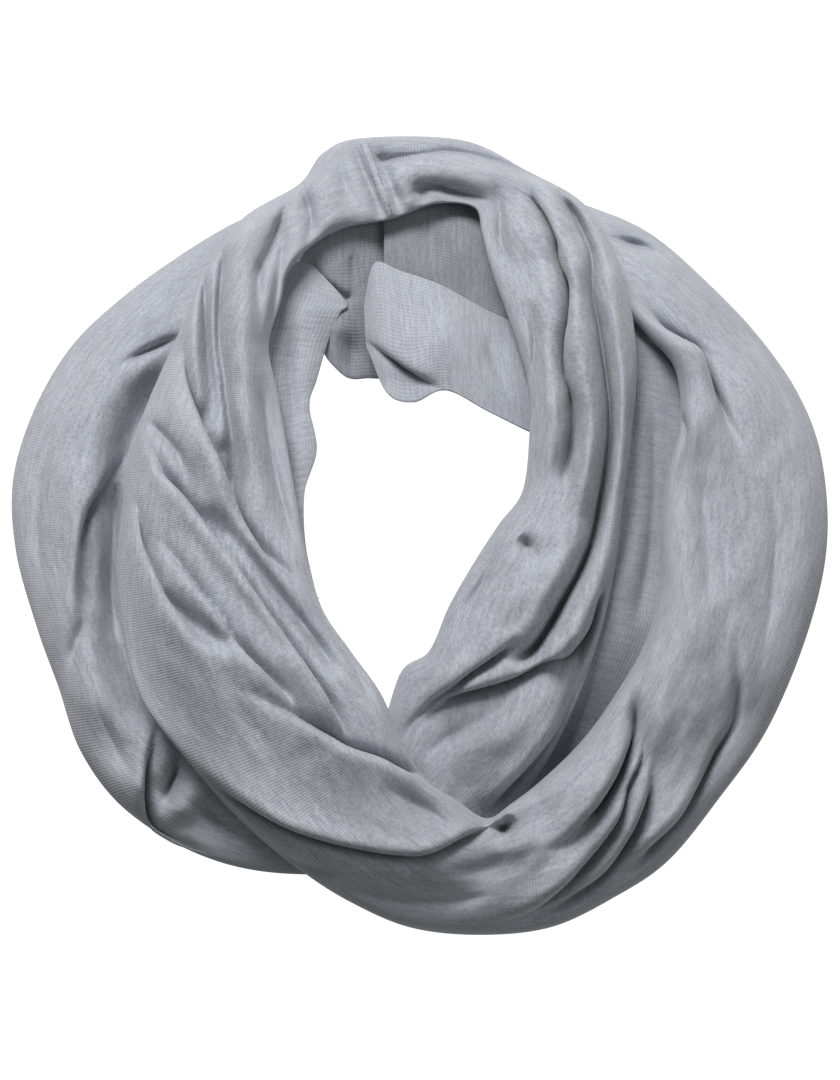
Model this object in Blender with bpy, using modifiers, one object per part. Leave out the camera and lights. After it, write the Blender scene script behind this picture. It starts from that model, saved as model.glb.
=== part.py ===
"""Infinity scarf: one jersey tube, sewn into a loop and wound twice, filled out as it is worn.

The scarf is drawn on a picture plane that faces the wearer's front, and each place also has a
depth behind that plane. The long loop is a flat tube lofted through the rows of LOOP and cut into
the stretches that show. The deeper layers are single sheets lofted through tables of their own.
The folds are troughs, ridges and laps along short paths on the same picture plane.
Units are metres in the scene. The tables hold plane places in drawing units and depths in mm.
"""

import math
from collections import namedtuple

import bmesh
import bpy
from mathutils import Vector
from mathutils.bvhtree import BVHTree

# Driving sizes
MM = 0.001
SCARF_WIDTH = 400.0  # outer width of the wound ring, mm
DRAWN_WIDTH = 816.0  # the same width in drawing units
UNIT = SCARF_WIDTH / DRAWN_WIDTH  # mm in one drawing unit
MIDDLE = (420.0, 540.0)  # drawing place of the origin, the centre of the neck
EYE_DISTANCE = 1100.0  # mm from the origin to the point that the sight lines meet in
EYE_ELEVATION = math.radians(14.0)
WALL = 2.0  # mm of cloth, both layers of the tube felted together
SEAM_GAP = 0.5  # mm between neighbouring stretches
PROBE = 0.1  # rows between two rings when their distance is measured
REACH = 60.0  # mm: how far a deeper sheet looks for what it lies against
REST_GAP = 0.4  # mm between a deeper sheet and what it lies against
SECTION_POWER = 2.5  # roundness of a stretch's section: 2 is an ellipse
RING_SLOPE = 0.50  # mm deeper for each mm up, from the lie of a scarf on the shoulders
CHEST_UP = -70.0  # mm: below this height the scarf hangs down the chest
CHEST_SLOPE = 0.12

SEAT_FULLNESS = 1.3  # how soon the folds reach full height away from a stretch's rims
MERGE = 1e-6  # m between points that are one

# Shape of the folds
LAP_HIGH = 0.6  # share of a lap's height that stands above the cloth
LAP_LOW = 0.4  # share that is sunk beside it
LAP_STEEP = 1.6  # how much faster the sunk side ends
FOLD_REACH = 4.0  # widths from its path where a fold ends
FADE = 0.22  # share of a fold's length in which it rises from the cloth, at each end
BACK_FADE = 0.25
BACK_MEAN = 0.5  # share of a back fold's height that the cloth beside it gives up
PATH_STEPS = 6  # pieces of path between two of its points

# Cells of cloth round a stretch
FRONT_CELLS = 22
BACK_CELLS = 5

GREY = (0.36, 0.37, 0.40, 1.0)
ROUGHNESS = 0.9

# Each row is one section across the band: its edge at the neck (x, y), its outer edge (x, y),
# the layer depth of both edges and the fullness towards the front and the back, in mm.
Section = namedtuple("Section", "name neck_x neck_y outer_x outer_y neck_lay outer_lay front back")

LOOP = [
    Section("cross seam", 392, 219, 362, 138, -2, 4, 9, 20),
    Section("collar left", 345, 228, 323, 153, -6, 2, 9, 19),
    Section("collar end", 312, 246, 299, 184, -16, -6, 12, 16),
    Section("shoulder left", 288, 272, 243, 218, -27, -15, 16, 14),
    Section("left 1", 281, 302, 205, 270, -31, -22, 18, 15),
    Section("left 2", 269, 345, 180, 330, -32, -22, 20, 16),
    Section("left 3", 278, 395, 150, 397, -32, -22, 21, 16),
    Section("left 4", 287, 445, 129, 455, -32, -22, 22, 16),
    Section("left 5", 296, 497, 122, 512, -32, -22, 23, 16),
    Section("left 6", 306, 552, 117, 575, -32, -22, 24, 16),
    Section("left 7", 322, 608, 124, 640, -32, -22, 24, 16),
    Section("left 8", 350, 650, 142, 700, -32, -22, 24, 15),
    Section("left 9", 380, 692, 180, 752, -32, -22, 24, 14),
    Section("bottom 1", 401, 738, 240, 820, -30, -16, 24, 13),
    Section("bottom 2", 425, 779, 300, 870, -26, -12, 24, 13),
    Section("bottom 3", 455, 799, 352, 903, -22, -8, 24, 15),
    Section("bottom 4", 486, 818, 412, 928, -20, -5, 23, 17),
    Section("bottom 5", 512, 803, 482, 935, -18, -3, 23, 18),
    Section("bottom 6", 545, 777, 552, 927, -14, 0, 23, 19),
    Section("bottom 7", 584, 738, 615, 897, -10, 4, 23, 19),
    Section("right 1", 618, 690, 668, 861, -7, 8, 23, 19),
    Section("right 2", 646, 640, 718, 800, -6, 12, 23, 19),
    Section("right 3", 659, 585, 768, 728, -6, 16, 23, 19),
    Section("right 4", 661, 530, 808, 632, -6, 18, 23, 19),
    Section("right 5", 667, 478, 827, 545, -5, 20, 23, 19),
    Section("right 6", 680, 422, 822, 460, -4, 21, 22, 19),
    Section("right 7", 675, 370, 800, 397, -2, 22, 21, 19),
    Section("right 8", 648, 336, 760, 338, 4, 24, 18, 19),
    Section("right 9", 618, 306, 707, 282, 12, 28, 15, 18),
    Section("shoulder right", 590, 292, 648, 232, 25, 34, 12, 16),
    Section("behind 1", 548, 302, 583, 204, 46, 41, 10, 15),
    Section("behind 2", 480, 314, 500, 178, 74, 45, 9, 15),
    Section("behind 3", 400, 322, 400, 170, 84, 47, 9, 15),
    Section("behind 4", 325, 318, 312, 192, 72, 42, 9, 15),
    Section("behind 5", 272, 312, 238, 221, 44, 34, 11, 15),
    Section("outer 1", 238, 332, 176, 258, 22, 28, 14, 16),
    Section("outer 2", 210, 368, 118, 301, 11, 23, 17, 17),
    Section("outer 3", 184, 412, 70, 348, 11, 20, 19, 18),
    Section("outer 4", 166, 455, 34, 410, 10, 18, 20, 19),
    Section("outer 5", 156, 505, 13, 480, 10, 18, 21, 19),
    Section("outer 6", 152, 560, 16, 552, 10, 18, 21, 19),
    Section("outer 7", 158, 620, 37, 628, 10, 17, 21, 19),
    Section("outer 8", 178, 680, 58, 686, 11, 16, 20, 18),
    Section("outer 9", 208, 728, 82, 754, 8, 15, 18, 17),
    Section("under 1", 250, 756, 128, 812, 11, 14, 15, 16),
    Section("under 2", 300, 768, 205, 857, 14, 14, 12, 15),
    Section("under 3", 345, 762, 290, 874, 15, 14, 11, 14),
    Section("under 4", 378, 735, 390, 866, 14, 14, 10, 14),
    Section("inner 1", 401, 672, 488, 822, 6, 12, 12, 14),
    Section("inner 2", 429, 651, 536, 778, -2, 6, 15, 14),
    Section("inner 3", 449, 606, 575, 705, -8, -2, 18, 14),
    Section("inner 4", 473, 564, 602, 628, -13, -7, 20, 14),
    Section("inner 5", 499, 524, 616, 560, -17, -12, 21, 14),
    Section("inner 6", 522, 492, 624, 495, -19, -14, 21, 14),
    Section("inner 7", 529, 440, 632, 430, -20, -16, 21, 14),
    Section("inner 8", 529, 388, 637, 370, -21, -18, 20, 14),
    Section("inner 9", 512, 328, 631, 308, -21, -18, 18, 14),
    Section("inner 10", 492, 272, 613, 248, -18, -15, 15, 14),
    Section("inner 11", 482, 234, 582, 202, -13, -9, 12, 15),
    Section("collar right", 474, 208, 528, 171, -6, 0, 9, 18),
    Section("collar top", 436, 204, 462, 140, -2, 4, 8, 20),
]

# A stretch runs from one row of LOOP to another, with some cells of cloth for each row.
Stretch = namedtuple("Stretch", "name first last cells_a_row")
STRETCHES = [
    Stretch("collar", "collar right", "collar end", 2),
    Stretch("front_left", "collar end", "left 9", 3),
    Stretch("bottom_sweep", "left 9", "right 1", 3),
    Stretch("right_outer", "right 1", "shoulder right", 2),
    Stretch("back_outer", "shoulder right", "outer 1", 1.4),
    Stretch("left_outer", "outer 1", "outer 9", 1.8),
    Stretch("under_cross", "outer 9", "inner 1", 1.6),
    Stretch("right_front", "inner 1", "collar right", 2.5),
]

# The deeper layers: rows as in LOOP, with one fullness. Each rests against a stretch.
Row = namedtuple("Row", "left_x left_y right_x right_y left_lay right_lay full")
Sheet = namedtuple("Sheet", "name cells_along cells_across rests_on rows")
SHEETS = [
    Sheet("right_under", 20, 6, ("right_front", "right_outer"), [
        Row(597, 297, 640, 321, 20, 29, 1),
        Row(605, 314, 655, 345, 15, 26, 2),
        Row(616, 345, 690, 372, 10, 26, 3),
        Row(618, 400, 694, 424, 6, 22, 4),
        Row(614, 470, 684, 486, 6, 20, 4),
        Row(604, 545, 676, 560, 6, 20, 4),
        Row(588, 610, 670, 630, 8, 20, 4),
        Row(560, 670, 648, 690, 12, 20, 3),
        Row(530, 728, 606, 748, 20, 23, 2),
        Row(508, 768, 578, 792, 26, 27, 1),
    ]),
    Sheet("inner_left", 18, 6, ("front_left",), [
        Row(296, 262, 312, 264, -6, -2, 1),
        Row(284, 284, 346, 302, -10, -5, 3),
        Row(276, 308, 340, 314, -12, -8, 4),
        Row(266, 345, 327, 346, -12, -12, 4),
        Row(264, 385, 317, 380, -12, -14, 4),
        Row(268, 420, 310, 406, -12, -17, 4),
        Row(272, 455, 317, 450, -14, -20, 4),
        Row(274, 500, 305, 493, -14, -22, 3),
        Row(282, 545, 306, 545, -16, -24, 3),
        Row(296, 590, 318, 600, -18, -24, 2),
    ]),
    Sheet("inner_back", 10, 6, ("collar", "front_left"), [
        Row(300, 262, 296, 310, 2, -4, 3),
        Row(318, 232, 318, 346, 8, -2, 5),
        Row(345, 216, 345, 377, 14, 0, 6),
        Row(370, 210, 370, 379, 22, 8, 4),
        Row(396, 208, 396, 380, 36, 26, 2),
    ]),
    Sheet("neck_flap", 10, 9, ("right_front",), [
        Row(376, 262, 389, 396, -12, -20, 6),
        Row(400, 271, 414, 403, -14, -24, 8),
        Row(440, 285, 446, 391, -14, -26, 9),
        Row(480, 307, 486, 411, -10, -22, 8),
        Row(520, 326, 524, 430, -4, -12, 5),
        Row(548, 340, 548, 440, 0, -5, 2),
    ]),
    Sheet("neck_pocket", 9, 6, ("collar",), [
        Row(384, 208, 384, 290, 24, 14, 3),
        Row(410, 200, 410, 300, 26, 16, 5),
        Row(450, 194, 450, 320, 26, 16, 6),
        Row(490, 205, 490, 340, 22, 12, 5),
        Row(530, 225, 530, 350, 16, 8, 3),
    ]),
]

# Folds on the front: kind, height or depth in mm, width in mm, and a path in drawing places.
# A lap is high on the right hand of its path and steps down to the other side.
Fold = namedtuple("Fold", "on kind height width path")
FOLDS = [
    Fold("loop", "trough", 9, 9, ((221, 286), (221, 340), (226, 385), (229, 420), (235, 460))),
    Fold("loop", "lap", 9, 18, ((183, 358), (193, 400), (213, 445), (240, 512), (264, 549), (317, 605))),
    Fold("loop", "trough", 8, 8, ((206, 292), (206, 345), (210, 380), (216, 430))),
    Fold("loop", "trough", 9, 11, ((148, 446), (180, 492), (225, 550), (258, 597), (293, 647), (346, 738))),
    Fold("loop", "trough", 8, 11, ((156, 540), (200, 592), (243, 650), (288, 697), (306, 722))),
    Fold("loop", "trough", 7, 11, ((130, 500), (140, 540), (165, 600), (212, 652))),
    Fold("loop", "trough", 11, 10, ((290, 202), (280, 222), (261, 260), (262, 330))),
    Fold("loop", "ridge", 6, 14, ((245, 225), (243, 300), (250, 380), (262, 450))),
    Fold("loop", "ridge", 5, 19, ((165, 380), (150, 450), (150, 480))),
    Fold("loop", "lap", 10, 22, ((255, 700), (305, 722), (350, 748), (400, 768), (450, 794), (484, 822))),
    Fold("loop", "trough", 9, 11, ((205, 778), (262, 816), (320, 840), (380, 853), (430, 855), (484, 826))),
    Fold("loop", "ridge", 6, 11, ((240, 812), (290, 838), (350, 858), (430, 866), (500, 850))),
    Fold("loop", "trough", 9, 8, ((636, 690), (635, 722), (625, 760), (604, 802))),
    Fold("loop", "trough", 10, 8, ((652, 700), (645, 740), (630, 786), (604, 840), (560, 886), (512, 920))),
    Fold("loop", "trough", 10, 8, ((656, 762), (640, 820), (610, 869), (570, 898), (528, 922))),
    Fold("loop", "trough", 10, 14, ((724, 728), (700, 780), (655, 845), (622, 880))),
    Fold("loop", "ridge", 8, 24, ((598, 750), (590, 800), (550, 845), (490, 875))),
    Fold("loop", "lap", 14, 20, ((625, 292), (662, 326), (699, 350), (712, 385), (724, 422), (738, 462))),
    Fold("loop", "trough", 8, 8, ((606, 240), (640, 247))),
    Fold("loop", "trough", 8, 8, ((680, 414), (686, 430), (676, 470))),
    Fold("loop", "trough", 8, 14, ((735, 630), (737, 690), (722, 738))),
    Fold("loop", "trough", 8, 10, ((182, 338), (150, 351), (108, 376))),
    Fold("loop", "lap", 11, 17, ((124, 460), (100, 487), (85, 512), (79, 548), (77, 590), (80, 616))),
    Fold("loop", "ridge", 6, 10, ((108, 500), (102, 560), (92, 620), (84, 670))),
    Fold("loop", "lap", 10, 11, ((158, 722), (148, 770), (145, 802), (154, 828), (215, 858))),
    Fold("loop", "trough", 8, 8, ((184, 750), (174, 780), (164, 806))),
    Fold("loop", "trough", 11, 8, ((530, 190), (556, 236), (561, 262), (570, 283), (566, 345), (570, 405))),
    Fold("loop", "trough", 10, 8, ((556, 190), (576, 218), (592, 256), (594, 305), (603, 352), (610, 402),
                                  (608, 450), (598, 508), (580, 570), (552, 622), (512, 660))),
    Fold("loop", "trough", 9, 8, ((614, 556), (598, 600), (580, 645), (545, 662), (500, 682), (440, 706), (410, 736))),
    Fold("loop", "trough", 8, 8, ((514, 640), (500, 652), (462, 674), (430, 700), (402, 733))),
    Fold("loop", "trough", 8, 8, ((590, 655), (572, 700), (553, 736), (524, 772), (488, 808))),
    Fold("loop", "ridge", 6, 12, ((552, 280), (546, 340), (548, 400), (556, 470))),
    Fold("loop", "ridge", 8, 8, ((404, 192), (424, 168), (462, 171), (496, 177))),
    Fold("loop", "trough", 8, 8, ((372, 160), (410, 157), (452, 156), (500, 165))),
    Fold("loop", "trough", 8, 8, ((414, 190), (446, 191), (480, 200))),
    Fold("loop", "lap", 2, 7, ((400, 212), (380, 184), (368, 156), (364, 140))),
    Fold("right_under", "ridge", 4, 17, ((640, 420), (640, 520), (628, 600), (600, 680))),
    Fold("inner_back", "trough", 10, 12, ((304, 250), (322, 282), (350, 302))),
    Fold("inner_back", "lap", 6, 12, ((324, 374), (328, 340), (340, 312), (370, 284))),
    Fold("neck_flap", "lap", 6, 14, ((446, 392), (418, 376), (388, 356), (366, 337))),
    Fold("neck_flap", "trough", 5, 8, ((487, 336), (496, 369), (512, 404))),
]

# Folds on the back: their places along the loop as LOOP rows, and across the back, 0 at the
# neck edge and 1 at the outer edge.
BackFold = namedtuple("BackFold", "first last start end height width")
BACK_FOLDS = [
    BackFold("right 4", "behind 3", 0.35, 0.60, 6, 0.10),
    BackFold("right 7", "outer 2", 0.70, 0.38, 5, 0.09),
    BackFold("behind 2", "outer 5", 0.55, 0.72, 6, 0.10),
    BackFold("outer 1", "outer 8", 0.30, 0.45, 5, 0.10),
    BackFold("left 1", "bottom 1", 0.45, 0.60, 4, 0.12),
    BackFold("bottom 3", "right 3", 0.35, 0.65, 6, 0.10),
    BackFold("bottom 5", "right 5", 0.70, 0.40, 5, 0.10),
    BackFold("inner 3", "inner 9", 0.50, 0.45, 4, 0.12),
]


def catmull(p0, p1, p2, p3, t):
    """A value on the smooth curve between p1 and p2."""
    return 0.5 * (
        2 * p1
        + (p2 - p0) * t
        + (2 * p0 - 5 * p1 + 4 * p2 - p3) * t * t
        + (3 * p1 - p0 - 3 * p2 + p3) * t * t * t
    )


def read_rows(rows, place, closed):
    """The numbers of a table at a place between its rows, smoothly. Names are left out."""
    count = len(rows)
    base = math.floor(place)
    if closed:
        picks = [rows[(base + step) % count] for step in (-1, 0, 1, 2)]
    else:
        base = min(max(base, 0), count - 2)
        picks = [rows[min(max(base + step, 0), count - 1)] for step in (-1, 0, 1, 2)]
    t = place - base
    columns = zip(*([value for value in row if not isinstance(value, str)] for row in picks))
    return [catmull(*column, t) for column in columns]


def across_up(x, y):
    """A drawing place as mm across and up on the picture plane."""
    return (x - MIDDLE[0]) * UNIT, (MIDDLE[1] - y) * UNIT


def ring_depth(up):
    """Depth in mm of the ring's own lie at a height in mm."""
    if up > CHEST_UP:
        return RING_SLOPE * up
    return RING_SLOPE * CHEST_UP + CHEST_SLOPE * (up - CHEST_UP)


def to_world(across, up, depth):
    """A place on the picture plane with its depth, as a point in metres in front of the eye."""
    spread = 1 + depth / EYE_DISTANCE
    sine, cosine = math.sin(EYE_ELEVATION), math.cos(EYE_ELEVATION)
    y = up * spread * sine + depth * cosine
    z = up * spread * cosine - depth * sine
    return Vector((across * spread, y, z)) * MM


def smooth_path(points):
    """A fold's path in mm, as closely spaced points on a smooth curve."""
    rows = [across_up(*point) for point in points]
    steps = (len(rows) - 1) * PATH_STEPS
    return [read_rows(rows, step / PATH_STEPS, False) for step in range(steps + 1)]


def ease(value):
    """A smooth step from 0 to 1."""
    value = min(max(value, 0.0), 1.0)
    return value * value * (3 - 2 * value)


def nearest_on_path(path, across, up):
    """Signed distance in mm to a path, positive on its right hand, and the share along it."""
    best = (math.inf, 0.0, 0.0)
    for index in range(len(path) - 1):
        ax, ay = path[index]
        bx, by = path[index + 1]
        dx, dy = bx - ax, by - ay
        px, py = across - ax, up - ay
        share = min(max((px * dx + py * dy) / (dx * dx + dy * dy), 0.0), 1.0)
        distance = math.hypot(px - share * dx, py - share * dy)
        if distance < best[0]:
            side = -1.0 if dx * py - dy * px > 0 else 1.0
            best = (distance, side, (index + share) / (len(path) - 1))
    return best[0] * best[1], best[2]


class Relief:
    """The folds on the front of one surface, read at any place on the picture plane."""

    def __init__(self, name):
        self.folds = [(fold, smooth_path(fold.path)) for fold in FOLDS if fold.on == name]

    def height(self, across, up):
        """Height in mm towards the eye at a place."""
        total = 0.0
        for fold, path in self.folds:
            distance, share = nearest_on_path(path, across, up)
            reach = abs(distance) / fold.width
            if reach > FOLD_REACH:
                continue
            fade = ease(share / FADE) * ease((1 - share) / FADE)
            if fold.kind == "ridge":
                total += fold.height * fade * math.exp(-reach * reach)
            elif fold.kind == "trough":
                total -= fold.height * fade * math.exp(-reach * reach)
            elif distance > 0:
                total += LAP_HIGH * fold.height * fade * math.exp(-reach)
            else:
                total -= LAP_LOW * fold.height * fade * math.exp(-reach * LAP_STEEP)
        return total


def row_index(name):
    """The place of a named row in LOOP."""
    return [row.name for row in LOOP].index(name)


def back_height(place, share):
    """Height in mm of the back folds at a place along the loop and a share across the back."""
    count = len(LOOP)
    total = 0.0
    for fold in BACK_FOLDS:
        first = row_index(fold.first)
        length = (row_index(fold.last) - first) % count
        along = ((place - first) % count) / length
        if along >= 1:
            continue
        middle = fold.start + (fold.end - fold.start) * along
        reach = (share - middle) / fold.width
        fade = ease(along / BACK_FADE) * ease((1 - along) / BACK_FADE)
        total += fold.height * fade * (math.exp(-reach * reach) - BACK_MEAN)
    return total


def loop_point(place, turn, relief, inset=0.0):
    """A point of the loop: a place along it and a turn round its section, 0 to 1 from the neck
    edge over the front to the outer edge, and 1 to 2 back again behind. The inset is how deep in
    the wall it lies."""
    neck_x, neck_y, outer_x, outer_y, neck_lay, outer_lay, front, back = read_rows(LOOP, place, True)
    neck, outer = Vector(across_up(neck_x, neck_y)), Vector(across_up(outer_x, outer_y))
    margin = (outer - neck).normalized() * inset
    neck, outer = neck + margin, outer - margin
    angle = turn * math.pi
    power = 2 / SECTION_POWER
    side = -math.copysign(abs(math.cos(angle)) ** power, math.cos(angle))
    rise = abs(math.sin(angle)) ** power
    share = (side + 1) / 2
    across = neck[0] + (outer[0] - neck[0]) * share
    up = neck[1] + (outer[1] - neck[1]) * share
    depth = ring_depth(up) + neck_lay + (outer_lay - neck_lay) * share
    inner = ease(rise * SEAT_FULLNESS)
    if turn <= 1:
        depth -= (front - inset) * rise + relief.height(across, up) * inner
    else:
        depth += (back - inset) * rise + back_height(place, share) * inner
    return to_world(across, up, depth)


def sheet_point(rows, along, share, relief):
    """A point of a single sheet: a share along its rows and a share across them."""
    values = read_rows(rows, along * (len(rows) - 1), False)
    left_x, left_y, right_x, right_y, left_lay, right_lay, full = values
    across, up = across_up(left_x + (right_x - left_x) * share, left_y + (right_y - left_y) * share)
    depth = ring_depth(up) + left_lay + (right_lay - left_lay) * share
    depth -= full * math.sin(math.pi * share) + relief.height(across, up)
    return to_world(across, up, depth)


def gridded(cells_along, cells_across, place_of):
    """A mesh grid whose points are moved by a function of two shares, its doubles then merged."""
    mesh = bmesh.new()
    bmesh.ops.create_grid(mesh, x_segments=cells_along, y_segments=cells_across, size=0.5)
    for vertex in mesh.verts:
        vertex.co = place_of(vertex.co.x + 0.5, vertex.co.y + 0.5)
    bmesh.ops.remove_doubles(mesh, verts=mesh.verts, dist=MERGE)
    return mesh


def face_front(mesh):
    """Turns a mesh so that the face nearest the eye points to it."""
    bmesh.ops.recalc_face_normals(mesh, faces=mesh.faces)
    nearest = min(mesh.faces, key=lambda face: face.calc_center_median().y)
    if nearest.normal.y > 0:
        bmesh.ops.reverse_faces(mesh, faces=mesh.faces)


def cloth():
    """The grey jersey's plain material."""
    material = bpy.data.materials.new("jersey")
    material.use_nodes = True
    shader = material.node_tree.nodes["Principled BSDF"]
    shader.inputs["Base Color"].default_value = GREY
    shader.inputs["Roughness"].default_value = ROUGHNESS
    return material


def finish(name, mesh, jersey, collection):
    """A named object of jersey."""
    data = bpy.data.meshes.new(name)
    mesh.to_mesh(data)
    mesh.free()
    data.shade_smooth()
    piece = bpy.data.objects.new(name, data)
    collection.objects.link(piece)
    piece.data.materials.append(jersey)
    return piece


def thicken(piece):
    """A wall of cloth behind an open sheet."""
    wall = piece.modifiers.new("Wall", "SOLIDIFY")
    wall.thickness = WALL * MM
    wall.offset = -1


def stretch_mesh(stretch, relief):
    """One stretch of the loop: an open tube with a wall, half a seam gap short of each end row.

    The grid runs along the outer face, round the far rim, back along the inner face and round the
    near rim to where it began."""
    first = row_index(stretch.first)
    rows = (row_index(stretch.last) - first) % len(LOOP)
    cells = round(rows * stretch.cells_a_row)
    around_cells = FRONT_CELLS + BACK_CELLS

    def trimmed(end, inward, turn):
        """The place half a seam gap inside an end row, at one turn round the section."""
        near = end + PROBE * inward
        move = (loop_point(end, turn, relief) - loop_point(near, turn, relief)).length / MM
        return end + PROBE * inward * (SEAM_GAP / 2) / move

    def place_of(run, around):
        step = round(run * (2 * cells + 2)) % (2 * cells + 2)
        inset = 0.0 if step <= cells else WALL
        along = step / cells if step <= cells else (2 * cells + 1 - step) / cells
        cell = round(around * around_cells) % around_cells
        turn = cell / FRONT_CELLS if cell <= FRONT_CELLS else 1 + (cell - FRONT_CELLS) / BACK_CELLS
        start = trimmed(first, 1, turn)
        stop = trimmed(first + rows, -1, turn)
        return loop_point(start + (stop - start) * along, turn, relief, inset)

    return gridded(2 * cells + 2, around_cells, place_of)


def shape_of(piece):
    """A search tree of an object's finished faces, and its points."""
    graph = bpy.context.evaluated_depsgraph_get()
    tree = BVHTree.FromObject(piece, graph)
    evaluated = piece.evaluated_get(graph)
    points = [vertex.co.copy() for vertex in evaluated.to_mesh().vertices]
    evaluated.to_mesh_clear()
    return tree, points


def seat(piece, carriers):
    """Moves a sheet along the line of sight until it lies the rest gap behind its carriers."""
    forward = Vector((0, -math.cos(EYE_ELEVATION), math.sin(EYE_ELEVATION)))
    own_tree, own_points = shape_of(piece)
    gaps = []
    for carrier in carriers:
        carrier_tree, carrier_points = shape_of(carrier)
        rays = [(carrier_tree, point, forward) for point in own_points]
        rays += [(own_tree, point, -forward) for point in carrier_points]
        for tree, point, way in rays:
            place, _, _, distance = tree.ray_cast(point, way, REACH * MM)
            if place is not None:
                gaps.append(distance)
    move = forward * (min(gaps) - REST_GAP * MM)
    for vertex in piece.data.vertices:
        vertex.co += move


def build():
    """The whole scarf."""
    for old in list(bpy.data.objects):
        bpy.data.objects.remove(old, do_unlink=True)
    scarf = bpy.data.collections.new("Infinity scarf")
    bpy.context.scene.collection.children.link(scarf)
    jersey = cloth()
    loop_relief = Relief("loop")
    pieces = {}
    for stretch in STRETCHES:
        mesh = stretch_mesh(stretch, loop_relief)
        face_front(mesh)
        pieces[stretch.name] = finish(stretch.name, mesh, jersey, scarf)
    for sheet in SHEETS:
        relief = Relief(sheet.name)
        mesh = gridded(
            sheet.cells_along,
            sheet.cells_across,
            lambda along, share, sheet=sheet, relief=relief: sheet_point(sheet.rows, along, share, relief),
        )
        face_front(mesh)
        pieces[sheet.name] = finish(sheet.name, mesh, jersey, scarf)
        thicken(pieces[sheet.name])
    bpy.context.view_layer.update()
    for sheet in SHEETS:
        seat(pieces[sheet.name], [pieces[name] for name in sheet.rests_on])


build()
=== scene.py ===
"""An infinity scarf in grey heather jersey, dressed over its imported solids.

The long tube of cloth is lofted through the same rows as the solids, in the same picture plane, and
carries finer folds: laps that hang over the cloth beside them, pinched creases and soft ridges.
Deeper layers are single sheets with rolled edges. Tables hold drawing places and depths in mm.
"""

import logging
import math
from dataclasses import dataclass, field
from enum import Enum
from typing import Any, Callable, NamedTuple, Sequence

import bmesh
import bpy
import numpy as np
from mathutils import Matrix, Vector


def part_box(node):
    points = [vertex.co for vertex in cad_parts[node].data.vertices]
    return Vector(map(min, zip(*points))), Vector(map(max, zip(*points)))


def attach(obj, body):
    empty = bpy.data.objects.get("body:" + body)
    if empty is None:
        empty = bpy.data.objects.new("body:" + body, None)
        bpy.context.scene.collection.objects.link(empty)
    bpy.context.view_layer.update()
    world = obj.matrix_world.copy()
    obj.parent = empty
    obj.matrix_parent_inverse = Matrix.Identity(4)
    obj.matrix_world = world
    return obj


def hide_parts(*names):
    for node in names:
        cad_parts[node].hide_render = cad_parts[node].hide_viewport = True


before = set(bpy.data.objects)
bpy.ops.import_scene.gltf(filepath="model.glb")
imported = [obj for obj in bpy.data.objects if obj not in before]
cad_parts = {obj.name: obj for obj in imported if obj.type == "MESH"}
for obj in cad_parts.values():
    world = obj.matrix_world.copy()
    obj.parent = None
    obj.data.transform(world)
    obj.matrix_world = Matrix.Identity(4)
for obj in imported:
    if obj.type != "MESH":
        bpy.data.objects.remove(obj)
log = logging.getLogger("infinity_scarf")

MM = 0.001
Array = np.ndarray
Colour = tuple[float, float, float, float]
Shape = Callable[[Array, Array], tuple[Array, Array]]


class LoopRow(NamedTuple):
    """One section across the band: both its edges as drawn, their layer depths and its fullness."""

    name: str
    neck_x: float
    neck_y: float
    outer_x: float
    outer_y: float
    neck_lay: float
    outer_lay: float
    front: float
    back: float


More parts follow.
